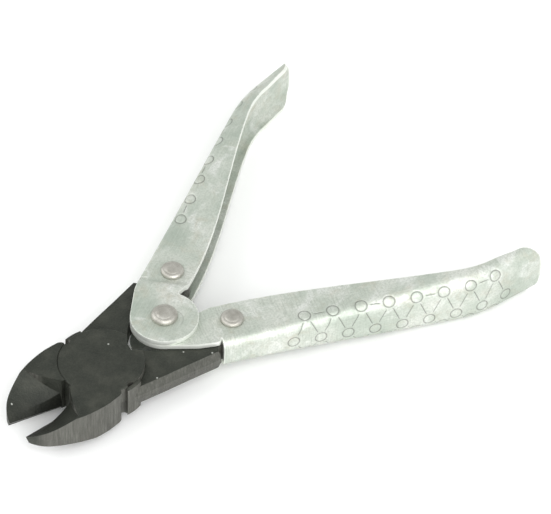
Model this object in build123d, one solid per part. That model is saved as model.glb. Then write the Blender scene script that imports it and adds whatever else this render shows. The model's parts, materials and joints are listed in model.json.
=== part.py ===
from build123d import *
import math
import os

os.makedirs("parts", exist_ok=True)

# ---------------------------------------------------------------- linkage
TAIL_LINK = 40.0        # jaw pivot to each tail rivet
HANDLE_LINK = 19.0      # handle pivot to each tail rivet
SHUT_TAIL_DEG = 11.95   # tail line from the tool axis with the jaws shut
OPEN_DEG = 6.2          # each jaw turns this far from shut to fully open

# ---------------------------------------------------------------- forged head
HEAD_T = 11.0           # overall thickness of the lap joint
HALF_T = HEAD_T / 2
TAIL_T = 6.6            # tails are thinner and run inside the handles
BOSS_R = 12.2
BOSS_GAP = 0.08         # shoulder to boss
BOSS_EDGE = 0.25
LAP_GAP = 0.03          # between the two lapped faces
SHOULDER_R = 13.2       # upright shoulder beside the boss at the root of each tail
SHOULDER_FROM_DEG = 57.0
SHOULDER_TO_DEG = 79.5
SHOULDER_DROP = 0.25    # the shoulder stops this far under the faces of the lap joint
SHOULDER_EDGE = 0.4
NOTCH_R = 1.1
NOTCH_DEG = 95.0
JAW_TIP_X = -30.8
THROAT_X = -13.2
TIP_EDGE_Z = -0.5
THROAT_EDGE_Z = -4.7
EDGE_SET = 0.02         # cutting edge to the closing plane
BEVEL_RUN = (-0.559, -0.829)    # plan direction of the bevel's sections and of its end wall
BEVEL_REACH = 16.0      # sections run past the back of the jaw
BEVEL_STEPS = 6
BEVEL_WIDTH = 11.1      # run of the bevel at the throat, from the cutting edge to the front face
WIDTH_GAIN = 4.2        # the run grows and then shrinks towards the tip
WIDTH_LOSS = 7.2
KNEE_RUN = 0.9          # steep foot of the bevel at the throat
KNEE_SPREAD = 2.1       # the foot grows wider by this towards the tip
KNEE_RISE = 4.4         # height of the foot above a straight bevel, fading out towards the tip
REAR_TAPER_X = -14.7
REAR_TAPER = 0.2
TAIL_END_R = 5.0
DRAFT_RUN = 0.8         # forging draft on the outer edge of each tail
DRAFT_RISE = 2.7

# ---------------------------------------------------------------- pressed handles
SHEET = 1.5
EAR_R = 9.65
EAR_GAP = 0.05
WEB_START = (16.6, 9.3)
WEB_DEG = -15.7         # web line against the pivot-to-rivet line
STRAIGHT_LEN = 70.0
BEND_R = 42.0
BEND_DEG = 18.3
END_LEN = 14.8
END_ROUND = 6.5
FRONT_HALF_W = 5.0
GRIP_HALF_W = 8.7
FLAT_LEN = 6.5          # parallel flanges by the tail rivet
GRIP_START = 78.0       # full width from here on
FRONT_DEPTH = 14.5
GRIP_DEPTH = 4.4
DEPTH_FROM = 5.0        # the flanges lose depth between these path lengths
DEPTH_TO = 85.0
FRONT_BEND = 2.5
GRIP_BEND = 4.1
JOGGLE_U = 12.0
JOGGLE_RUN = 2.3

# ---------------------------------------------------------------- rivets
JAW_RIVET_R = 3.5
JAW_RIVET_SINK = 0.8
PIVOT_R = 2.6
PIVOT_HEAD_R = 3.8
PIVOT_HEAD_H = 1.9
TAIL_RIVET_R = 2.25
TAIL_HEAD_R = 3.3
TAIL_HEAD_H = 1.5
RUN_CLEAR = 0.04        # radial clearance of a turning fit
OPEN_LOOP_CLEAR = 0.2   # radial clearance of the lower tail bore
SPACER_R = 3.8

# ---------------------------------------------------------------- derived
OPEN_TAIL_DEG = SHUT_TAIL_DEG + OPEN_DEG
phi = math.radians(OPEN_TAIL_DEG)
theta = math.asin(TAIL_LINK * math.sin(phi) / HANDLE_LINK)
HANDLE_DEG = math.degrees(theta)
PIVOT_X = TAIL_LINK * math.cos(phi) - HANDLE_LINK * math.cos(theta)
RIVET_X = TAIL_LINK * math.cos(phi)
RIVET_Y = TAIL_LINK * math.sin(phi)
EAR_IN = FRONT_HALF_W - SHEET
OUTER_EAR_IN = FRONT_HALF_W + EAR_GAP
OUTER_EAR_OUT = OUTER_EAR_IN + SHEET
BEND_LEN = BEND_R * math.radians(BEND_DEG)
PATH_LEN = STRAIGHT_LEN + BEND_LEN + END_LEN
MID_Z = HALF_T


def polar(radius, deg):
    return (radius * math.cos(math.radians(deg)), radius * math.sin(math.radians(deg)))


def rod(radius, z0, z1):
    return Pos(0, 0, (z0 + z1) / 2) * Cylinder(radius, abs(z1 - z0))


# ================================================================ forged halves
def tail_blank():
    """Tail plate in its own line: x from the jaw pivot to the tail rivet, y outward."""
    far = TAIL_LINK + TAIL_END_R
    with BuildSketch() as sk:
        with BuildLine():
            a = Polyline((0, 0), (2.3, 12.4), (7.0, 12.2), (16.0, 11.1), (23.0, 10.1), (32.7, 8.9),
                         (33.7, 6.1), (37.3, 3.9))
            b = ThreePointArc(a @ 1, (far, 0), (37.0, -4.0))
            Polyline(b @ 1, (28.5, -0.3), (23.0, 1.6), (19.1, 1.8), (16.2, 0.8), (13.5, -0.5), (10.9, -2.1),
                     (9.1, -3.1), (0, -4.0), (0, 0))
        make_face()
    plate = extrude(sk.sketch, TAIL_T / 2, both=True)
    for end in (-1, 0):
        flat = plate.faces().sort_by(Axis.Z)[end]
        outer = [e for e in flat.edges() if 4 < e.center().X < 34 and e.center().Y > 7]
        plate = chamfer(outer, DRAFT_RUN, DRAFT_RISE, reference=flat)
    return plate


def shoulder(layer):
    """Upright block at the root of the tail that stands beside the boss of the other half."""
    post = rod(SHOULDER_R, layer * (HALF_T - BOSS_EDGE), -layer * (HALF_T - SHOULDER_DROP))
    post = chamfer(post.edges().filter_by(GeomType.CIRCLE), SHOULDER_EDGE)
    reach = 2 * SHOULDER_R
    sector = Polyline((0, 0), polar(reach, SHOULDER_FROM_DEG), polar(reach, SHOULDER_TO_DEG), close=True)
    return post & extrude(make_face(sector), HALF_T, both=True)


def root_notch():
    """Relief in the boss at the inner corner of the tail, which clears the other tail's root."""
    corner = Polyline((7.7, -5.2), (9.1, -3.1), (10.9, -2.1), (13.5, -0.5), (16.0, -3.0), (12.5, -8.5),
                      (9.1, -7.9), (8.6, -6.6), close=True)
    return extrude(make_face(corner), HALF_T + 1, both=True)


def jaw_blank():
    """Jaw block with the jaws shut: cutting edge on y = 0, body towards -y."""
    e = -EDGE_SET
    with BuildSketch() as sk:
        with BuildLine():
            tip = (JAW_TIP_X, e)
            back = Spline(tip, (-28.6, -4.7), (-23.3, -8.3), (-16.6, -11.1), (-10.0, -12.5))
            heel = Polyline(back @ 1, (-6.2, -12.6))
            turn = ThreePointArc(heel @ 1, (-4.9, -12.0), (-4.3, -10.6))
            Polyline(turn @ 1, (-3.7, -6.0), (-3.7, e), tip)
        make_face()
    return extrude(sk.sketch, HALF_T, both=True)


def edge_z(x):
    """Height of the cutting edge, which drops from the tip to the throat."""
    along = (x - JAW_TIP_X) / (THROAT_X - JAW_TIP_X)
    return TIP_EDGE_Z + (THROAT_EDGE_Z - TIP_EDGE_Z) * along


def bevel_section(t):
    """Section of the metal ground away, from the throat (t = 0) to just past the tip (t = 1)."""
    start = THROAT_X + 0.8
    end = JAW_TIP_X - 2.0
    x = start + (end - start) * t
    foot = edge_z(x)
    width = BEVEL_WIDTH + WIDTH_GAIN * t - WIDTH_LOSS * t * t
    run = KNEE_RUN + KNEE_SPREAD * t
    height = foot + (HALF_T - foot) * run / width + KNEE_RISE * (1 - t) ** 3
    slope = (HALF_T - height) / (width - run)
    top = height + slope * (BEVEL_REACH - run)
    outline = [(0, foot), (run, height), (BEVEL_REACH, top), (BEVEL_REACH, 14), (-3, 14), (-3, foot)]
    points = [(x + BEVEL_RUN[0] * d, BEVEL_RUN[1] * d - EDGE_SET, z) for d, z in outline]
    return make_face(Polyline(points, close=True))


def bevel_tool():
    """Bevel on the front of the jaw, steep at the throat, ending at an upright wall by the boss."""
    grind = loft([bevel_section(i / BEVEL_STEPS) for i in range(BEVEL_STEPS + 1)])
    with BuildSketch() as sk:
        with BuildLine():
            wall = ThreePointArc((THROAT_X, -0.4), (-16.9, -5.2), (-19.5, -9.6))
            Polyline(wall @ 1, (-24, -16), (-60, -16), (-60, 6), (THROAT_X, 6), wall @ 0)
        make_face()
    return grind & extrude(sk.sketch, 30, both=True)


def rear_tools():
    """Rear taper towards the tip and the short back bevel under the cutting edge."""
    run = 26.0
    x0 = REAR_TAPER_X
    taper = Polyline((x0, 0, -HALF_T), (x0 - run, 0, -HALF_T + REAR_TAPER * run), (x0 - run, 0, -20),
                     (x0, 0, -20), close=True)
    wedge = extrude(make_face(taper), 30, both=True)
    end = Vector(THROAT_X, 0, THROAT_EDGE_Z)
    along = (Vector(JAW_TIP_X, 0, TIP_EDGE_Z) - end).normalized()
    plane = Plane(origin=end, x_dir=(0, -1, 0), z_dir=along)
    lip = plane * Polyline((-1, 0), (EDGE_SET, 0), (0.75, -1.2), (1.6, -4.0), (-1, -4.0), close=True)
    return wedge + extrude(make_face(lip), 40, dir=along)


def head_half(side, layer):
    """One forged half, jaws shut. side: +1 tail up, jaw down; layer: +1 boss in front, -1 behind."""
    other = rod(BOSS_R + BOSS_GAP, layer * LAP_GAP / 2, -layer * (HALF_T + 1))
    boss = rod(BOSS_R, layer * LAP_GAP / 2, layer * HALF_T)
    face = [e for e in boss.edges() if abs(e.center().Z - layer * HALF_T) < 0.01]
    boss = chamfer(face, BOSS_EDGE)
    boss = boss - Rot(0, 0, SHUT_TAIL_DEG) * root_notch()
    tail = Rot(0, 0, SHUT_TAIL_DEG) * (tail_blank() + shoulder(layer)) - other
    jaw = jaw_blank() - bevel_tool() - rear_tools() - other
    for deg in (NOTCH_DEG, -NOTCH_DEG):
        x, y = polar(BOSS_R, deg)
        cut = Pos(x, y, 0) * Cylinder(NOTCH_R, HEAD_T + 2)
        boss = boss - cut
        tail = tail - cut
    body = boss + tail + jaw
    x, y = polar(TAIL_LINK, SHUT_TAIL_DEG)
    if side > 0:
        loose = RUN_CLEAR
        pivot = 0.0
    else:
        loose = OPEN_LOOP_CLEAR
        pivot = RUN_CLEAR
    body = body - Pos(x, y, 0) * Cylinder(TAIL_RIVET_R + loose, TAIL_T + 2)
    body = body - rod(JAW_RIVET_R + pivot, -HALF_T - 1, HALF_T + 1)
    sink = Plane((0, 0, layer * (HALF_T - JAW_RIVET_SINK)), z_dir=(0, 0, layer))
    body = body - sink * Pos(0, 0, JAW_RIVET_SINK / 2) * Cone(
        JAW_RIVET_R + pivot, JAW_RIVET_R + JAW_RIVET_SINK + pivot, JAW_RIVET_SINK)
    if side < 0:
        body = mirror(body, about=Plane.XZ)
    return Rot(0, 0, side * OPEN_DEG) * body


def jaw_rivet():
    pin = rod(JAW_RIVET_R, -HALF_T, HALF_T)
    for layer in (1, -1):
        seat = Plane((0, 0, layer * (HALF_T - JAW_RIVET_SINK)), z_dir=(0, 0, layer))
        pin = pin + seat * Pos(0, 0, JAW_RIVET_SINK / 2) * Cone(
            JAW_RIVET_R, JAW_RIVET_R + JAW_RIVET_SINK, JAW_RIVET_SINK)
    return pin


# ================================================================ pressed handles
def web_point(s):
    """Outer face of the web at path length s: (u, v, heading in degrees)."""
    u, v = WEB_START
    a = WEB_DEG
    first = min(s, STRAIGHT_LEN)
    u += first * math.cos(math.radians(a))
    v += first * math.sin(math.radians(a))
    turned = math.degrees(min(max(s - STRAIGHT_LEN, 0), BEND_LEN) / BEND_R)
    chord = 2 * BEND_R * math.sin(math.radians(turned / 2))
    u += chord * math.cos(math.radians(a - turned / 2))
    v += chord * math.sin(math.radians(a - turned / 2))
    a -= turned
    last = max(s - STRAIGHT_LEN - BEND_LEN, 0)
    u += last * math.cos(math.radians(a))
    v += last * math.sin(math.radians(a))
    return u, v, a


def smooth(s, start, end):
    t = min(max((s - start) / (end - start), 0), 1)
    return t * t * (3 - 2 * t)


def half_width(s):
    return FRONT_HALF_W + (GRIP_HALF_W - FRONT_HALF_W) * smooth(s, FLAT_LEN, GRIP_START)


def depth(s):
    return FRONT_DEPTH + (GRIP_DEPTH - FRONT_DEPTH) * smooth(s, DEPTH_FROM, DEPTH_TO)


def bend_radius(s):
    return FRONT_BEND + (GRIP_BEND - FRONT_BEND) * smooth(s, FLAT_LEN, GRIP_START)


def station(s):
    u, v, a = web_point(s)
    t = (math.cos(math.radians(a)), math.sin(math.radians(a)), 0)
    return Plane(origin=(u, v, 0), x_dir=(0, 0, 1), z_dir=t)


def channel_section(s, inset, extra):
    """Closed U outline across the path; inset moves it inward by the sheet thickness."""
    w = half_width(s) - inset
    r = bend_radius(s) - inset
    d = depth(s) + extra
    k = r * (1 - math.sqrt(0.5))
    with BuildSketch(station(s)) as sk:
        with BuildLine():
            Line((-w, d), (-w, inset + r))
            ThreePointArc((-w, inset + r), (-w + k, inset + k), (-w + r, inset))
            Line((-w + r, inset), (w - r, inset))
            ThreePointArc((w - r, inset), (w - k, inset + k), (w, inset + r))
            Line((w, inset + r), (w, d))
            Line((w, d), (-w, d))
        make_face()
    return sk.sketch.face()


def ear_outline():
    """Flat lug about the handle pivot, running back to the start of the channel."""
    u, v, a = web_point(0)
    n = (math.sin(math.radians(a)), -math.cos(math.radians(a)))
    p = (u + n[0] * FRONT_BEND, v + n[1] * FRONT_BEND)
    q = web_point(4)
    top = (q[0] + n[0] * FRONT_BEND, q[1] + n[1] * FRONT_BEND)
    low = (q[0] + n[0] * depth(4), q[1] + n[1] * depth(4))
    first = (u + n[0] * depth(0), v + n[1] * depth(0))
    lug = Polyline((0, 0), (0, EAR_R), (9.0, EAR_R), (14.2, 8.7), p, top, low, first, (9.5, -2.7),
                   (8.2, -5.1), close=True)
    return make_face(lug) + Circle(EAR_R)


def handle(pivot_bore):
    """Pressed channel in its own line: x from the handle pivot to the tail rivet, y outward."""
    steps = [FLAT_LEN] + [10 + 5.4 * i for i in range(12)]
    steps += [STRAIGHT_LEN + BEND_LEN * i / 5 for i in range(6)]
    skin = loft([channel_section(s, 0, 0) for s in [0] + steps + [PATH_LEN]], ruled=True)
    core = loft([channel_section(s, SHEET, 2) for s in [-1] + steps + [PATH_LEN + 1]], ruled=True)
    body = skin - core
    # rounded tongue end
    u, v, a = web_point(PATH_LEN - END_ROUND)
    t = (math.cos(math.radians(a)), math.sin(math.radians(a)), 0)
    n = (math.sin(math.radians(a)), -math.cos(math.radians(a)), 0)
    plan = Plane(origin=(u, v, 0), x_dir=t, z_dir=n)
    w = GRIP_HALF_W + 0.05
    trim = Pos(END_ROUND, 0) * Rectangle(2 * END_ROUND, 4 * w) - Ellipse(END_ROUND, w)
    body = body - extrude(plan * trim, 20, both=True)
    # straight lug behind, joggled lug in front
    lug = ear_outline()
    body = body + Pos(0, 0, -FRONT_HALF_W) * extrude(lug, SHEET)
    j = JOGGLE_U
    k = JOGGLE_U + JOGGLE_RUN
    step = Polyline((-20, 0, OUTER_EAR_IN), (j, 0, OUTER_EAR_IN), (k, 0, EAR_IN), (40, 0, EAR_IN),
                    (40, 0, FRONT_HALF_W), (k + 0.6, 0, FRONT_HALF_W), (j + 0.6, 0, OUTER_EAR_OUT),
                    (-20, 0, OUTER_EAR_OUT), close=True)
    sheet = extrude(make_face(step), 30, both=True)
    trim_front = Pos(0, 0, EAR_IN) * extrude(lug, OUTER_EAR_OUT - EAR_IN)
    body = body + (trim_front & sheet)
    body = body - Cylinder(pivot_bore, 30)
    body = body - Pos(HANDLE_LINK, 0, 0) * Cylinder(TAIL_RIVET_R, 30)
    return body


# ================================================================ rivets and spacer
def headed_rivet(radius, head_r, head_h, grip_half):
    """Rivet with a low domed head at both ends of its grip."""
    body = rod(radius, -grip_half, grip_half)
    for end in (1, -1):
        head = rod(head_r, end * grip_half, end * (grip_half + head_h))
        top = [e for e in head.edges() if abs(e.center().Z - end * (grip_half + head_h)) < 0.01]
        body = body + fillet(top, head_h * 0.6)
    return body


def spacer():
    return Cylinder(SPACER_R, 2 * EAR_IN) - Cylinder(PIVOT_R, 20)


lift = Pos(0, 0, MID_Z)
at_pivot = Pos(PIVOT_X, 0, 0)
upper_place = at_pivot * Rot(0, 0, HANDLE_DEG)
flip = Rot(180, 0, 0)

parts = {
    "front_jaw": lift * head_half(1, 1),
    "rear_jaw": lift * head_half(-1, -1),
    "jaw_rivet": lift * jaw_rivet(),
    "upper_handle": lift * upper_place * handle(PIVOT_R),
    "lower_handle": lift * flip * upper_place * handle(PIVOT_R + RUN_CLEAR),
    "handle_pivot_rivet": lift * at_pivot * headed_rivet(PIVOT_R, PIVOT_HEAD_R, PIVOT_HEAD_H, OUTER_EAR_OUT),
    "upper_tail_rivet": lift * Pos(RIVET_X, RIVET_Y, 0) * headed_rivet(
        TAIL_RIVET_R, TAIL_HEAD_R, TAIL_HEAD_H, FRONT_HALF_W + 0.02),
    "lower_tail_rivet": lift * Pos(RIVET_X, -RIVET_Y, 0) * headed_rivet(
        TAIL_RIVET_R, TAIL_HEAD_R, TAIL_HEAD_H, FRONT_HALF_W + 0.02),
    "handle_spacer": lift * at_pivot * spacer(),
}

for name, shape in parts.items():
    export_step(shape, "parts/" + name + ".step")
    box = shape.bounding_box()
    print(name, len(shape.solids()), round(shape.volume, 1), box.min, box.max)
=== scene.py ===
import bpy
import bmesh
import json
import math
import numpy as np
from mathutils import Vector, Matrix
from mathutils.geometry import delaunay_2d_cdt


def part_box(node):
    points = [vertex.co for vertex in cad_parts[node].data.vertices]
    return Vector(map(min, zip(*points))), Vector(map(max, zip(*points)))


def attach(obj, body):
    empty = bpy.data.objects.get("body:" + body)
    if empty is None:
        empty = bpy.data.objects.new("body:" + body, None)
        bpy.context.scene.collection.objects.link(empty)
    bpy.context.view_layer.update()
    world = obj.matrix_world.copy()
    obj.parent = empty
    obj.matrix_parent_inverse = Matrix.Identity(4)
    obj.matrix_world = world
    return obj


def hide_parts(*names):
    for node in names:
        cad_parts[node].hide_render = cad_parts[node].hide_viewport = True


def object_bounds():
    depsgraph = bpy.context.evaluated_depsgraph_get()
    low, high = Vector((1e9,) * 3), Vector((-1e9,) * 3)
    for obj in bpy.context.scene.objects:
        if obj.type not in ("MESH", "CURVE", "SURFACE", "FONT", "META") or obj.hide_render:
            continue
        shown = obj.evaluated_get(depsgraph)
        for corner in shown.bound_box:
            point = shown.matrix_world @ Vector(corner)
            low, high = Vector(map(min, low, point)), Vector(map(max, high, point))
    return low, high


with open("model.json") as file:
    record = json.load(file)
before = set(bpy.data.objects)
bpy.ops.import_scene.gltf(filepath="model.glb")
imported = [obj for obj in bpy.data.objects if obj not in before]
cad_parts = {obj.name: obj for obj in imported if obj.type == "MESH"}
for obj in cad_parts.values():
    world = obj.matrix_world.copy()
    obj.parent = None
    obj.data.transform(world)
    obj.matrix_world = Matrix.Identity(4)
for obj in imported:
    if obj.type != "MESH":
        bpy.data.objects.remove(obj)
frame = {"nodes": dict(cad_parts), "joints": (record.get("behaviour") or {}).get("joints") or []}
cad_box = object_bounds()
scene = bpy.context.scene
MM = 0.001

# ------------------------------------------------------------------ frame values
joints = {j["name"]: j for j in frame["joints"]}
PIVOT = Vector(joints["handle_pivot"]["pos_m"]) / MM
TAIL = Vector(joints["upper_tail_pivot"]["pos_m"]) / MM
MID_Z = PIVOT.z
HANDLE_ANGLE = math.atan2(TAIL.y - PIVOT.y, TAIL.x - PIVOT.x)
HANDLE_LINK = math.hypot(TAIL.y - PIVOT.y, TAIL.x - PIVOT.x)
FLOOR_Z = cad_box[0].z

# ------------------------------------------------------------------ camera
AZIMUTH = math.radians(-44.67)
ELEVATION = math.radians(46.01)
ROLL = math.radians(2.04)
CAM_DISTANCE = 1.2001
TARGET = Vector((0.06712, 0.00059, MID_Z * MM))
LENS = 274.0

back = Vector((math.sin(AZIMUTH) * math.cos(ELEVATION), -math.cos(AZIMUTH) * math.cos(ELEVATION),
               math.sin(ELEVATION)))
flat_right = Vector((math.cos(AZIMUTH), math.sin(AZIMUTH), 0))
flat_up = back.cross(flat_right)
right = flat_right * math.cos(ROLL) + flat_up * math.sin(ROLL)
up = flat_up * math.cos(ROLL) - flat_right * math.sin(ROLL)
cam_data = bpy.data.cameras.new("camera")
cam = bpy.data.objects.new("camera", cam_data)
scene.collection.objects.link(cam)
cam_data.lens = LENS
cam_data.sensor_width = 36
cam_data.clip_start = 0.05
cam_data.clip_end = 20
basis = Matrix((right, up, back)).transposed().to_4x4()
cam.matrix_world = Matrix.Translation(TARGET + back * CAM_DISTANCE) @ basis
scene.camera = cam

# ------------------------------------------------------------------ handle shape, mm
SHEET = 1.5
EAR_R = 9.65
WEB_START = (16.6, 9.3)
WEB_DEG = -15.7
STRAIGHT_LEN = 70.0
BEND_R = 42.0
BEND_DEG = 18.3
END_LEN = 14.8
END_ROUND = 6.5
END_TRIM = 0.03         # keeps the rounded end inside the part's own box
END_EASE = 0.9          # the flange's free edge drops by this at the rounded end
FRONT_HALF_W = 5.0
GRIP_HALF_W = 8.7
FLAT_LEN = 6.5
GRIP_START = 78.0
FRONT_DEPTH = 14.5
GRIP_DEPTH = 4.4
DEPTH_FROM = 5.0
DEPTH_TO = 85.0
FRONT_BEND = 2.5
GRIP_BEND = 4.1
JOGGLE_U = 12.0
JOGGLE_RUN = 2.3
JOGGLE_OUT = 1.55
JOGGLE_LEAN = 0.6       # the outer skin's fold starts this much later than the inner skin's
JOGGLE_EASE = 0.25
RIM_BEVEL = 0.22
EASE_LEN = 9.0          # the free edge starts to drop this far before the rounded end
PIVOT_SHANK_R = 2.6
TAIL_SHANK_R = 2.25
BEND_LEN = BEND_R * math.radians(BEND_DEG)
PATH_LEN = STRAIGHT_LEN + BEND_LEN + END_LEN
QUARTER = math.pi / 2

# stamped grip pattern: three rows of rings joined by short dashes
PITCH = 8.1
ROW_START = 24.6
CENTRE_START = 20.5
ROW_COUNT = 8
RING_R = 1.7
RING_CLEAR = 0.62       # gap between a ring and a dash
GROOVE_W = 0.26
GROOVE_D = 0.12
WITNESS_R = 3.5         # faint ring left by the riveting tool
WITNESS_DEPTH = 0.35    # of a full groove
GROOVE_STEPS = ((-1, 0.0), (-0.45, 0.8), (0, 1.0), (0.45, 0.8), (1, 0.0))
GROOVE_MARGIN = 0.16    # bare strip beside a groove, free of mesh points
HOLE_MARGIN = 0.2
OUTLINE_MARGIN = 0.28
OUTLINE_STEP = 0.55
WEB_EDGE_STEP = 0.4
GRID_S = 0.85           # spacing of the mesh points along and across the blank
GRID_P = 0.42
HOLE_STEPS = 32
BLANK_FRONT = 30        # the lugs reach less than this in front of the web
BLANK_HALF_W = 28
# witness arcs on the lugs: centre along and across the lug, side, first and last angle on the blank
WITNESS_ARCS = ((-0.7, -1.9, 1, -20, 110), (-0.5, -1.5, -1, -110, 20))


def smooth(x, a, b):
    t = min(max((x - a) / (b - a), 0), 1)
    return t * t * (3 - 2 * t)


def half_width(s):
    return FRONT_HALF_W + (GRIP_HALF_W - FRONT_HALF_W) * smooth(s, FLAT_LEN, GRIP_START)


def depth(s):
    return FRONT_DEPTH + (GRIP_DEPTH - FRONT_DEPTH) * smooth(s, DEPTH_FROM, DEPTH_TO)


def bend_radius(s):
    return FRONT_BEND + (GRIP_BEND - FRONT_BEND) * smooth(s, FLAT_LEN, GRIP_START)


def web_point(s):
    u, v = WEB_START
    a = math.radians(WEB_DEG)
    first = min(s, STRAIGHT_LEN)
    u += first * math.cos(a)
    v += first * math.sin(a)
    turned = min(max(s - STRAIGHT_LEN, 0), BEND_LEN) / BEND_R
    chord = 2 * BEND_R * math.sin(turned / 2)
    u += chord * math.cos(a - turned / 2)
    v += chord * math.sin(a - turned / 2)
    a -= turned
    last = max(s - STRAIGHT_LEN - BEND_LEN, 0)
    u += last * math.cos(a)
    v += last * math.sin(a)
    return u, v, a


W0 = half_width(0)
R0 = bend_radius(0)
BEND_END = W0 - R0 + QUARTER * R0


def to_flat(u, v, sign):
    """A point of the lug plane, as (path length, girth) on the flat blank."""
    a = math.radians(WEB_DEG)
    du, dv = u - WEB_START[0], v - WEB_START[1]
    s = du * math.cos(a) + dv * math.sin(a)
    d = du * math.sin(a) - dv * math.cos(a)
    return (s, sign * (BEND_END + d - R0))


def flange_flat(u, v, sign):
    """Blank place of a flange point behind the web's front edge."""
    a = math.radians(WEB_DEG)
    du, dv = u - WEB_START[0], v - WEB_START[1]
    s = du * math.cos(a) + dv * math.sin(a)
    d = du * math.sin(a) - dv * math.cos(a)
    w, r = half_width(s), bend_radius(s)
    return (s, sign * (w - r + QUARTER * r + d - r))


def fold(s, p, inset):
    """The folded place of a blank point; inset is measured in from the outer skin."""
    sign = 1 if p >= 0 else -1
    girth = abs(p)
    w, r = half_width(s), bend_radius(s)
    u, v, a = web_point(s)
    n = (math.sin(a), -math.cos(a))
    web = w - r
    bend_end = web + QUARTER * r
    if s < -1e-6 or girth > bend_end:
        z = w - inset
        d = r + girth - bend_end
        flange = True
    elif girth <= web:
        z = girth
        d = inset
        flange = False
    else:
        b = (girth - web) / r
        z = web + (r - inset) * math.sin(b)
        d = r - (r - inset) * math.cos(b)
        flange = False
    x, y = u + n[0] * d, v + n[1] * d
    if flange and sign > 0:
        start = JOGGLE_U + JOGGLE_LEAN * (1 - inset / SHEET)
        z += JOGGLE_OUT * (1 - smooth(x, start - JOGGLE_EASE, start + JOGGLE_RUN + JOGGLE_EASE))
    return Vector((x, y, sign * z))


def arc_points(cx, cy, r, a0, a1, n):
    return [(cx + r * math.cos(math.radians(a0 + (a1 - a0) * i / n)),
             cy + r * math.sin(math.radians(a0 + (a1 - a0) * i / n))) for i in range(n + 1)]


def resample(points, step):
    out = []
    for a, b in zip(points, points[1:]):
        n = max(1, int(math.dist(a, b) / step))
        out += [(a[0] + (b[0] - a[0]) * i / n, a[1] + (b[1] - a[1]) * i / n) for i in range(n)]
    out.append(points[-1])
    return out


def rim_girth(s):
    """Girth of the flange's free edge, which runs in towards the rounded end."""
    w, r = half_width(s), bend_radius(s)
    s0 = PATH_LEN - END_ROUND
    return w - r + QUARTER * r + depth(s) - r - END_EASE * smooth(s, s0 - EASE_LEN, s0 + 1)


def half_outline(sign):
    """Blank outline from the web's front edge round the lug and along the flange to the rounded end."""
    lug = [(15.7, 7.9), (15.2, 8.5), (14.2, 8.85), (9.6, 9.6), (8.0, EAR_R), (0, EAR_R)]
    lug += arc_points(0, 0, EAR_R, 90, 328, 60)[1:]
    lug += [(8.9, -3.6), (9.15, -3.05), (9.6, -2.85), (10.1, -3.05)]
    pts = [(0.0, sign * BEND_END)]
    pts += [to_flat(u, v, sign) for u, v in lug]
    s0 = PATH_LEN - END_ROUND
    n = 90
    for i in range(n + 1):
        s = s0 * i / n
        pts.append((s, sign * rim_girth(s)))
    return pts


def end_outline():
    s0 = PATH_LEN - END_ROUND
    top = rim_girth(s0)
    out = []
    n = 60
    for i in range(n + 1):
        turn = math.pi * i / n
        out.append((s0 + (END_ROUND - END_TRIM) * math.sin(turn), top * math.cos(turn)))
    return out


def row_place(i, sign):
    s = ROW_START + PITCH * i
    if sign > 0:
        return (s, 7.0)
    return (s, 2.0 * smooth(s, 18, 66) - 0.4 * smooth(s, 70, 84) - 8.0)


def centre_place(i):
    s = CENTRE_START + PITCH * i
    return (s, 0.4 + 3.2 * smooth(s, 12, 68) - 0.7 * smooth(s, 70, 90))


def pattern():
    """Rings of the grip pattern, and the pairs of rings that a dash joins."""
    rings, links = [], []
    centre = [centre_place(i) for i in range(ROW_COUNT + 1)]
    rings += [(c, RING_R) for c in centre]
    for sign in (-1, 1):
        row = [row_place(i, sign) for i in range(ROW_COUNT)]
        rings += [(c, RING_R) for c in row]
        for i, c in enumerate(row):
            links.append((c, centre[i]))
            links.append((c, centre[i + 1]))
            if i % 2 == 0:
                links.append((c, row[i + 1]))
    return rings, links


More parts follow.
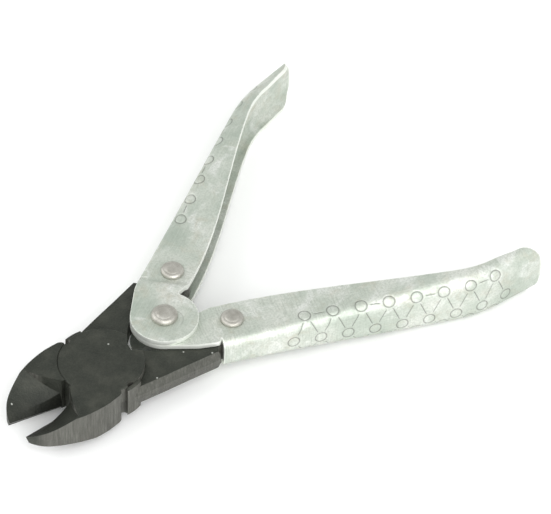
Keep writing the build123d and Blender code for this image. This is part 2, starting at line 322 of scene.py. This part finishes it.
def handle_mesh(name, flip):
    """One handle: the flat blank with its grooves, meshed, folded up and given its thickness."""
    rings, links = pattern()
    verts, edges, groove = [], [], []

    def add(pt, g=0.0):
        verts.append(Vector(pt))
        groove.append(g)
        return len(verts) - 1

    def chain(points, closed, g=0.0):
        ids = [add(p, g) for p in points]
        for a, b in zip(ids, ids[1:]):
            edges.append((a, b))
        if closed:
            edges.append((ids[-1], ids[0]))
        return ids

    front = half_outline(1)
    rear = half_outline(-1)
    outline = resample(front + end_outline()[1:-1] + rear[::-1], OUTLINE_STEP)
    web_edge = resample([rear[0], front[0]], WEB_EDGE_STEP)[1:-1]
    ring = outline + web_edge
    ids = [add(p) for p in ring]
    face = [ids]
    for a, b in zip(ids, ids[1:] + ids[:1]):
        edges.append((a, b))
    holes = []
    for sign in (1, -1):
        for hu, hr, unfold in ((0, PIVOT_SHANK_R, to_flat), (HANDLE_LINK, TAIL_SHANK_R, flange_flat)):
            turns = [2 * math.pi * k / HOLE_STEPS for k in range(HOLE_STEPS)]
            pts = [unfold(hu + hr * math.cos(t), hr * math.sin(t), sign) for t in turns]
            chain(pts, True)
            c = (sum(q[0] for q in pts) / HOLE_STEPS, sum(q[1] for q in pts) / HOLE_STEPS)
            holes.append((c, hr))
    blocked = []

    def groove_ring(c, r):
        for off, g in GROOVE_STEPS:
            chain(arc_points(c[0], c[1], r + off * GROOVE_W, 0, 360, 40)[:-1], True, g)
        blocked.append(("ring", c, r))

    def groove_arc(c, r, a0, a1):
        steps = 24
        for off, g in GROOVE_STEPS:
            pts = arc_points(c[0], c[1], r + off * GROOVE_W, a0, a1, steps)
            ids = [add(q, g * WITNESS_DEPTH if 0 < k < steps else 0.0) for k, q in enumerate(pts)]
            edges.extend(zip(ids, ids[1:]))
        blocked.append(("ring", c, r))

    def groove_dash(a, b):
        va, vb = Vector(a), Vector(b)
        d = (vb - va).normalized()
        side = Vector((-d.y, d.x))
        start = va + d * (RING_R + RING_CLEAR)
        end = vb - d * (RING_R + RING_CLEAR)
        n = max(2, int((end - start).length / 0.5))
        for off, g in GROOVE_STEPS:
            pts = []
            for k in range(n + 1):
                narrow = 0.8 if 0 < k < n else 0.4
                pts.append(start.lerp(end, k / n) + side * off * GROOVE_W * narrow)
            ids = [add(q, g if 0 < k < n else 0.0) for k, q in enumerate(pts)]
            edges.extend(zip(ids, ids[1:]))
        blocked.append(("link", start, end))

    for c, r in rings:
        groove_ring(c, r)
    for a, b in links:
        groove_dash(a, b)
    for u, v, sign, a0, a1 in WITNESS_ARCS:
        groove_arc(to_flat(u, v, sign), WITNESS_R, a0, a1)

    def clear(s, p):
        """Whether a mesh point keeps away from the grooves and the holes."""
        for b in blocked:
            if b[0] == "ring":
                if abs(math.hypot(s - b[1][0], p - b[1][1]) - b[2]) < GROOVE_W + GROOVE_MARGIN:
                    return False
            else:
                a, e = b[1], b[2]
                d = e - a
                t = min(max(((s - a.x) * d.x + (p - a.y) * d.y) / d.length_squared, 0), 1)
                if math.hypot(s - a.x - d.x * t, p - a.y - d.y * t) < GROOVE_W + GROOVE_MARGIN:
                    return False
        for c, r in holes:
            if abs(math.hypot(s - c[0], p - c[1]) - r) < HOLE_MARGIN:
                return False
        return True

    near = {}
    for q in ring:
        near.setdefault((int(q[0] // 1), int(q[1] // 1)), []).append(q)

    def off_edge(s, p):
        """Whether a mesh point keeps away from the outline."""
        for i in (-1, 0, 1):
            for j in (-1, 0, 1):
                for q in near.get((int(s // 1) + i, int(p // 1) + j), ()):
                    if math.hypot(s - q[0], p - q[1]) < OUTLINE_MARGIN:
                        return False
        return True

    poly = np.array(ring)
    poly_next = np.roll(poly, -1, axis=0)

    def inside(q):
        """Which of the points lie inside the blank's outline."""
        hit = np.zeros(len(q), int)
        for (s1, p1), (s2, p2) in zip(poly, poly_next):
            if s1 == s2:
                continue
            cross = (s1 > q[:, 0]) != (s2 > q[:, 0])
            at = p1 + (q[:, 0] - s1) * (p2 - p1) / (s2 - s1)
            hit += cross & (q[:, 1] < at)
        return hit % 2 == 1

    grid = []
    for i in range(int((PATH_LEN + BLANK_FRONT) / GRID_S)):
        for k in range(int(2 * BLANK_HALF_W / GRID_P)):
            grid.append((-BLANK_FRONT + GRID_S * i, -BLANK_HALF_W + GRID_P * (k + 0.5 * (i % 2))))
    grid = np.array(grid)
    for q in grid[inside(grid)]:
        if clear(*q) and off_edge(*q):
            add(q)
    out = delaunay_2d_cdt(verts, edges, face, 1, 1e-5, True)
    co, _, tris, orig = out[0], out[1], out[2], out[3]
    g = [max([groove[k] for k in o] or [0.0]) for o in orig]
    flat_co = np.array([(c.x, c.y) for c in co])
    centres = flat_co[np.array([list(t)[:3] for t in tris])].mean(1)
    keep = inside(centres)
    for c, r in holes:
        keep &= np.hypot(centres[:, 0] - c[0], centres[:, 1] - c[1]) > r
    kept = [tuple(t) for t, ok in zip(tris, keep) if ok]
    used = sorted({k for t in kept for k in t})
    index = {k: i for i, k in enumerate(used)}
    n = len(used)
    rot = Matrix.Rotation(HANDLE_ANGLE, 4, "Z")
    place = Matrix.Translation((PIVOT.x, PIVOT.y, 0)) @ rot
    if flip:
        place = Matrix.Rotation(math.pi, 4, "X") @ place
    lift = Vector((0, 0, MID_Z))
    points = [(place @ fold(co[k].x, co[k].y, GROOVE_D * g[k]) + lift) * MM for k in used]
    points += [(place @ fold(co[k].x, co[k].y, SHEET) + lift) * MM for k in used]
    faces = [tuple(index[k] for k in t) for t in kept]
    count = {}
    for t in faces:
        for a, b in zip(t, t[1:] + t[:1]):
            count[(a, b)] = True
    rim = [(a, b) for (a, b) in count if (b, a) not in count]
    faces += [tuple(k + n for k in reversed(t)) for t in faces]
    faces += [(b, a, a + n, b + n) for a, b in rim]
    mesh = bpy.data.meshes.new(name)
    mesh.from_pydata([tuple(p) for p in points], [], faces)
    # groove depth per point; the handle material also uses it to darken the grooves as painted shade
    attr = mesh.attributes.new("groove", "FLOAT", "POINT")
    attr.data.foreach_set("value", [g[k] for k in used] + [0.0] * n)
    on_rim = {k for pair in rim for k in pair}
    # the sheet's cut edges, which get a painted highlight in the handle material
    edge_attr = mesh.attributes.new("rim", "FLOAT", "POINT")
    edge_attr.data.foreach_set("value", [1.0 if k % n in on_rim else 0.0 for k in range(2 * n)])
    uv = mesh.uv_layers.new(name="blank")
    flat = [(co[k].x / 100, co[k].y / 100) for k in used]
    flat = flat + flat
    for loop in mesh.loops:
        uv.data[loop.index].uv = flat[loop.vertex_index]
    bm = bmesh.new()
    bm.from_mesh(mesh)
    bmesh.ops.recalc_face_normals(bm, faces=bm.faces)
    weight = bm.edges.layers.float.new("bevel_weight_edge")
    rims = {tuple(sorted(e)) for e in rim} | {(min(a, b) + n, max(a, b) + n) for a, b in rim}
    for e in bm.edges:
        key = tuple(sorted(v.index for v in e.verts))
        if key in rims:
            e[weight] = 1.0
    for f in bm.faces:
        f.smooth = True
    bm.to_mesh(mesh)
    bm.free()
    obj = bpy.data.objects.new(name, mesh)
    scene.collection.objects.link(obj)
    bev = obj.modifiers.new("edge", "BEVEL")
    bev.limit_method = "WEIGHT"
    bev.width = RIM_BEVEL * MM
    bev.segments = 2
    bev.harden_normals = False
    return obj


# ------------------------------------------------------------------ rivets
# half the thickness each rivet clamps
GRIPS = {"handle_pivot_rivet": 6.55, "upper_tail_rivet": 5.02, "lower_tail_rivet": 5.02}


def lathe(name, profile, centre, segments=72):
    verts, faces = [], []
    n = len(profile)
    for i in range(segments):
        a = 2 * math.pi * i / segments
        for r, z in profile:
            verts.append((centre.x + r * math.cos(a), centre.y + r * math.sin(a), centre.z + z))
    for i in range(segments):
        j = (i + 1) % segments
        for k in range(n - 1):
            faces.append((i * n + k, j * n + k, j * n + k + 1, i * n + k + 1))
    mesh = bpy.data.meshes.new(name)
    mesh.from_pydata([tuple(c * MM for c in v) for v in verts], [], faces)
    bm = bmesh.new()
    bm.from_mesh(mesh)
    bmesh.ops.remove_doubles(bm, verts=bm.verts, dist=1e-7)
    bmesh.ops.recalc_face_normals(bm, faces=bm.faces)
    for f in bm.faces:
        f.smooth = True
    bm.to_mesh(mesh)
    bm.free()
    obj = bpy.data.objects.new(name, mesh)
    scene.collection.objects.link(obj)
    return obj


def rivet_profile(shank, head, grip, height):
    """Half outline of a flat-topped rivet, from the top centre to the bottom centre."""
    flat = head * 0.62
    half = [(0, grip + height), (flat * 0.6, grip + height - 0.015), (flat, grip + height - 0.06)]
    half += [(flat + 0.10, grip + height - 0.16), (flat + 0.22, grip + height - 0.19)]
    inner, top, bottom = half[-1][0], half[-1][1], grip + 0.5
    n = 8
    for i in range(1, n + 1):
        t = QUARTER * i / n
        half.append((inner + (head - inner) * math.sin(t), bottom + (top - bottom) * math.cos(t)))
    half += [(head, grip + 0.2), (head - 0.1, grip + 0.03), (head - 0.2, grip), (shank, grip)]
    return half + [(r, -z) for r, z in reversed(half)]


def node_box(name):
    lo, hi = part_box(name)
    return lo / MM, hi / MM


def rivet(name, shank, node):
    lo, hi = node_box(node)
    centre = (lo + hi) / 2
    head = (hi.x - lo.x) / 2
    top = (hi.z - lo.z) / 2
    grip = GRIPS[node]
    return lathe(name, rivet_profile(shank, head, grip, top - grip), Vector((centre.x, centre.y, MID_Z)))


# ------------------------------------------------------------------ materials
class Nodes:
    """Short helper that builds one procedural material."""

    def __init__(self, name):
        self.mat = bpy.data.materials.new(name)
        self.mat.use_nodes = True
        self.tree = self.mat.node_tree
        self.bsdf = self.tree.nodes["Principled BSDF"]

    def new(self, kind, **values):
        node = self.tree.nodes.new(kind)
        for key, value in values.items():
            if hasattr(node, key):
                setattr(node, key, value)
            else:
                node.inputs[key].default_value = value
        return node

    def link(self, a, b):
        self.tree.links.new(a, b)

    def coords(self, source="Object", scale=(1, 1, 1), rotation=(0, 0, 0)):
        tex = self.new("ShaderNodeTexCoord")
        mapping = self.new("ShaderNodeMapping")
        mapping.inputs["Scale"].default_value = scale
        mapping.inputs["Rotation"].default_value = rotation
        self.link(tex.outputs[source], mapping.inputs["Vector"])
        return mapping.outputs["Vector"]

    def noise(self, vector, scale, detail=4, rough=0.55, distortion=0.0):
        node = self.new("ShaderNodeTexNoise")
        node.inputs["Scale"].default_value = scale
        node.inputs["Detail"].default_value = detail
        node.inputs["Roughness"].default_value = rough
        node.inputs["Distortion"].default_value = distortion
        self.link(vector, node.inputs["Vector"])
        return node.outputs["Fac"]

    def ramp(self, fac, stops):
        node = self.new("ShaderNodeValToRGB")
        el = node.color_ramp.elements
        while len(el) > len(stops):
            el.remove(el[-1])
        while len(el) < len(stops):
            el.new(1.0)
        for e, (pos, col) in zip(el, stops):
            e.position = pos
            e.color = col if len(col) == 4 else (*col, 1)
        self.link(fac, node.inputs["Fac"])
        return node.outputs["Color"]

    def mix(self, fac, a, b, blend="MIX"):
        node = self.new("ShaderNodeMix", data_type="RGBA", blend_type=blend)
        for socket, value in ((node.inputs["Factor"], fac), (node.inputs[6], a), (node.inputs[7], b)):
            if hasattr(value, "is_output"):
                self.link(value, socket)
            else:
                socket.default_value = value
        return node.outputs[2]

    def math(self, op, a, b=0.0, clamp=False):
        node = self.new("ShaderNodeMath", operation=op, use_clamp=clamp)
        for socket, value in ((node.inputs[0], a), (node.inputs[1], b)):
            if hasattr(value, "is_output"):
                self.link(value, socket)
            else:
                socket.default_value = value
        return node.outputs[0]

    def bump(self, height, strength, distance, chain=None):
        node = self.new("ShaderNodeBump")
        node.inputs["Strength"].default_value = strength
        node.inputs["Distance"].default_value = distance
        self.link(height, node.inputs["Height"])
        if chain is not None:
            self.link(chain, node.inputs["Normal"])
        return node.outputs["Normal"]


def zinc_material():
    m = Nodes("zinc_plate")
    obj = m.coords("Object", (1000, 1000, 1000))
    cloud = m.noise(obj, 0.06, 4, 0.62)
    stain = m.noise(obj, 0.22, 5, 0.6, 0.6)
    fine = m.noise(obj, 1.7, 5, 0.68)
    grain = m.noise(obj, 8.0, 3, 0.6)
    long_brush = m.noise(m.coords("UV", (12, 330, 1)), 1.0, 4, 0.6)
    cross_brush = m.noise(m.coords("UV", (240, 22, 1)), 1.0, 4, 0.6)
    zone = m.ramp(m.noise(obj, 0.045, 2, 0.5), [(0.48, (0.0,) * 3), (0.62, (1.0,) * 3)])
    base = m.ramp(cloud, [(0.32, (0.40, 0.455, 0.395)), (0.5, (0.535, 0.575, 0.515)),
                          (0.68, (0.70, 0.71, 0.665))])
    smear = m.noise(obj, 0.11, 3, 0.5, 1.2)
    smears = m.ramp(smear, [(0.55, (0.0,) * 3), (0.66, (0.6,) * 3)])
    base = m.mix(smears, base, (0.78, 0.79, 0.765, 1))
    base = m.mix(m.ramp(stain, [(0.52, (0.0,) * 3), (0.70, (0.6,) * 3)]), base, (0.47, 0.455, 0.37, 1))
    base = m.mix(m.ramp(fine, [(0.42, (0.0,) * 3), (0.70, (0.6,) * 3)]), base, (0.34, 0.375, 0.325, 1))
    base = m.mix(m.ramp(long_brush, [(0.5, (0.0,) * 3), (0.8, (0.35,) * 3)]), base, (0.76, 0.78, 0.73, 1))
    marks = m.math("MULTIPLY", zone, m.ramp(cross_brush, [(0.48, (0.0,) * 3), (0.75, (0.6,) * 3)]))
    base = m.mix(marks, base, (0.33, 0.36, 0.31, 1))
    # painted shade: the grooves and witness arcs are darkened with their depth
    groove = m.new("ShaderNodeAttribute", attribute_name="groove")
    base = m.mix(m.math("MULTIPLY", groove.outputs["Fac"], 0.62), base, (0.09, 0.09, 0.08, 1))
    # painted highlight along the sheet's cut edges
    rim = m.new("ShaderNodeAttribute", attribute_name="rim")
    painted_edge_highlight = m.ramp(rim.outputs["Fac"], [(0.45, (0.0,) * 3), (0.95, (0.75,) * 3)])
    base = m.mix(painted_edge_highlight, base, (0.86, 0.88, 0.83, 1))
    m.link(base, m.bsdf.inputs["Base Color"])
    m.bsdf.inputs["Metallic"].default_value = 0.62
    rough = m.math("ADD", m.math("MULTIPLY", fine, 0.22), 0.33)
    rough = m.math("ADD", rough, m.math("MULTIPLY", stain, 0.12))
    m.link(rough, m.bsdf.inputs["Roughness"])
    normal = m.bump(long_brush, 0.06, 0.00008)
    normal = m.bump(marks, 0.10, 0.00006, normal)
    normal = m.bump(fine, 0.14, 0.00012, normal)
    normal = m.bump(grain, 0.08, 0.00004, normal)
    m.link(normal, m.bsdf.inputs["Normal"])
    return m.mat


THROAT_HALF_W = 6.0     # walls nearer the tool axis than this, in mm, stay black as painted shade


def forged_material():
    m = Nodes("forged_black")
    obj = m.coords("Object", (1000, 1000, 1000))
    cloud = m.noise(obj, 0.16, 4, 0.6)
    grain = m.noise(obj, 2.6, 6, 0.72)
    pits = m.noise(obj, 1.1, 3, 0.5, 0.8)
    base = m.ramp(cloud, [(0.32, (0.014, 0.017, 0.012)), (0.5, (0.024, 0.027, 0.020)),
                          (0.68, (0.042, 0.044, 0.034))])
    base = m.mix(m.ramp(grain, [(0.45, (0.0,) * 3), (0.75, (0.5,) * 3)]), base, (0.066, 0.069, 0.056, 1))
    # upright walls away from the throat are made bright, partly as a ground finish with fine lines across
    # the thickness, partly as painted light
    geo = m.new("ShaderNodeNewGeometry")
    sep = m.new("ShaderNodeSeparateXYZ")
    m.link(geo.outputs["True Normal"], sep.inputs[0])
    upright = m.ramp(m.math("ABSOLUTE", sep.outputs["Z"]), [(0.15, (1.0,) * 3), (0.6, (0.0,) * 3)])
    lines = m.noise(m.coords("Object", (1900, 1900, 130)), 1.0, 4, 0.65)
    wide_lines = m.noise(m.coords("Object", (520, 520, 40)), 1.0, 3, 0.6)
    ground_finish_and_painted_light = m.ramp(lines, [(0.3, (0.058, 0.058, 0.050)), (0.55, (0.130, 0.130, 0.114)),
                            (0.8, (0.28, 0.28, 0.25))])
    ground_finish_and_painted_light = m.mix(m.math("MULTIPLY", wide_lines, 0.7), ground_finish_and_painted_light, (0.075, 0.072, 0.062, 1))
    place = m.new("ShaderNodeSeparateXYZ")
    m.link(obj, place.inputs[0])
    away = m.ramp(m.math("MULTIPLY", m.math("ABSOLUTE", place.outputs["Y"]), 0.05),
                  [(THROAT_HALF_W * 0.05, (0.0,) * 3), (THROAT_HALF_W * 0.05 + 0.1, (1.0,) * 3)])
    # painted shade: faces turned upwards, the bevels among them, get darker with depth
    painted_bevel_shade = m.ramp(m.math("MULTIPLY", place.outputs["Z"], 0.1), [(0.2, (0.8,) * 3), (0.78, (0.0,) * 3)])
    facing = m.math("GREATER_THAN", sep.outputs["Z"], 0.05)
    base = m.mix(m.math("MULTIPLY", painted_bevel_shade, facing), base, (0.004, 0.005, 0.003, 1))
    base = m.mix(m.math("MULTIPLY", m.math("MULTIPLY", upright, 0.85), away), base, ground_finish_and_painted_light)
    # chips of bare metal on the flat faces
    cells = m.new("ShaderNodeTexVoronoi")
    cells.inputs["Scale"].default_value = 0.34
    m.link(m.coords("Object", (1000, 1000, 1)), cells.inputs["Vector"])
    near = m.ramp(cells.outputs["Distance"], [(0.06, (1.0,) * 3), (0.11, (0.0,) * 3)])
    pick = m.new("ShaderNodeSeparateColor")
    m.link(cells.outputs["Color"], pick.inputs[0])
    chosen = m.math("GREATER_THAN", pick.outputs[0], 0.9)
    chip = m.math("MULTIPLY", m.math("MULTIPLY", near, chosen), m.math("SUBTRACT", 1.0, upright))
    base = m.mix(chip, base, (0.42, 0.43, 0.40, 1))
    m.link(base, m.bsdf.inputs["Base Color"])
    m.bsdf.inputs["Metallic"].default_value = 0.35
    m.link(m.math("ADD", m.math("MULTIPLY", grain, 0.3), 0.36), m.bsdf.inputs["Roughness"])
    normal = m.bump(pits, 0.4, 0.0004)
    normal = m.bump(grain, 0.35, 0.0002, normal)
    normal = m.bump(lines, 0.12, 0.0001, normal)
    m.link(normal, m.bsdf.inputs["Normal"])
    return m.mat


def rivet_material():
    m = Nodes("rivet_steel")
    obj = m.coords("Object", (1000, 1000, 1000))
    cloud = m.noise(obj, 0.45, 4, 0.6)
    grain = m.noise(obj, 4.5, 5, 0.72)
    dents = m.noise(obj, 1.6, 3, 0.5, 0.6)
    base = m.ramp(cloud, [(0.3, (0.42, 0.405, 0.365)), (0.7, (0.60, 0.585, 0.54))])
    base = m.mix(m.ramp(grain, [(0.45, (0.0,) * 3), (0.75, (0.7,) * 3)]), base, (0.27, 0.26, 0.23, 1))
    m.link(base, m.bsdf.inputs["Base Color"])
    m.bsdf.inputs["Metallic"].default_value = 0.88
    m.link(m.math("ADD", m.math("MULTIPLY", grain, 0.25), 0.30), m.bsdf.inputs["Roughness"])
    normal = m.bump(dents, 0.3, 0.0002)
    normal = m.bump(grain, 0.3, 0.0001, normal)
    m.link(normal, m.bsdf.inputs["Normal"])
    return m.mat


def floor_material():
    m = Nodes("pale_floor")
    obj = m.coords("Object")
    cloud = m.noise(obj, 3.0, 3, 0.5)
    pale = m.ramp(cloud, [(0.3, (0.95, 0.95, 0.95)), (0.7, (0.965, 0.965, 0.965))])
    m.link(pale, m.bsdf.inputs["Base Color"])
    m.bsdf.inputs["Roughness"].default_value = 0.7
    m.bsdf.inputs["Specular IOR Level"].default_value = 0.2
    return m.mat


zinc = zinc_material()
forged = forged_material()
rivet_steel = rivet_material()


def dress(obj, mat):
    obj.data.materials.clear()
    obj.data.materials.append(mat)


upper = handle_mesh("upper_handle_shell", False)
lower = handle_mesh("lower_handle_shell", True)
for obj, node in ((upper, "upper_handle"), (lower, "lower_handle")):
    dress(obj, zinc)
    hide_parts(node)
    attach(obj, node)

for name, shank, node, body in (
        ("handle_pivot_rivet_head", PIVOT_SHANK_R, "handle_pivot_rivet", "upper_handle"),
        ("upper_tail_rivet_head", TAIL_SHANK_R, "upper_tail_rivet", "upper_handle"),
        ("lower_tail_rivet_head", TAIL_SHANK_R, "lower_tail_rivet", "lower_handle")):
    obj = rivet(name, shank, node)
    dress(obj, rivet_steel)
    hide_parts(node)
    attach(obj, body)

for node in ("front_jaw", "rear_jaw", "jaw_rivet"):
    for slot in frame["nodes"][node].material_slots:
        slot.material = forged
for node in ("front_jaw", "rear_jaw"):
    edge = frame["nodes"][node].modifiers.new("edge", "BEVEL")
    edge.limit_method = "ANGLE"
    edge.angle_limit = math.radians(35)
    edge.width = 0.14 * MM
    edge.segments = 2
for slot in frame["nodes"]["handle_spacer"].material_slots:
    slot.material = rivet_steel

# ------------------------------------------------------------------ floor and light
bpy.ops.mesh.primitive_plane_add(size=6, location=(0, 0, FLOOR_Z))
floor = bpy.context.object
floor.name = "floor"
dress(floor, floor_material())

world = bpy.data.worlds.new("studio")
scene.world = world
world.use_nodes = True
world.node_tree.nodes["Background"].inputs["Color"].default_value = (0.985, 1.0, 0.985, 1)
world.node_tree.nodes["Background"].inputs["Strength"].default_value = 0.80


def area(name, location, size, energy):
    data = bpy.data.lights.new(name, "AREA")
    data.energy = energy
    data.size = size
    obj = bpy.data.objects.new(name, data)
    scene.collection.objects.link(obj)
    obj.location = location
    aim = Vector((0.05, 0, 0)) - Vector(location)
    obj.rotation_mode = "QUATERNION"
    obj.rotation_quaternion = aim.to_track_quat("-Z", "Y")
    return obj


area("key", (-0.35, -0.85, 0.7), 1.4, 15)
area("back", (-0.6, 0.7, 0.7), 1.2, 5)
scene.view_settings.view_transform = "Standard"
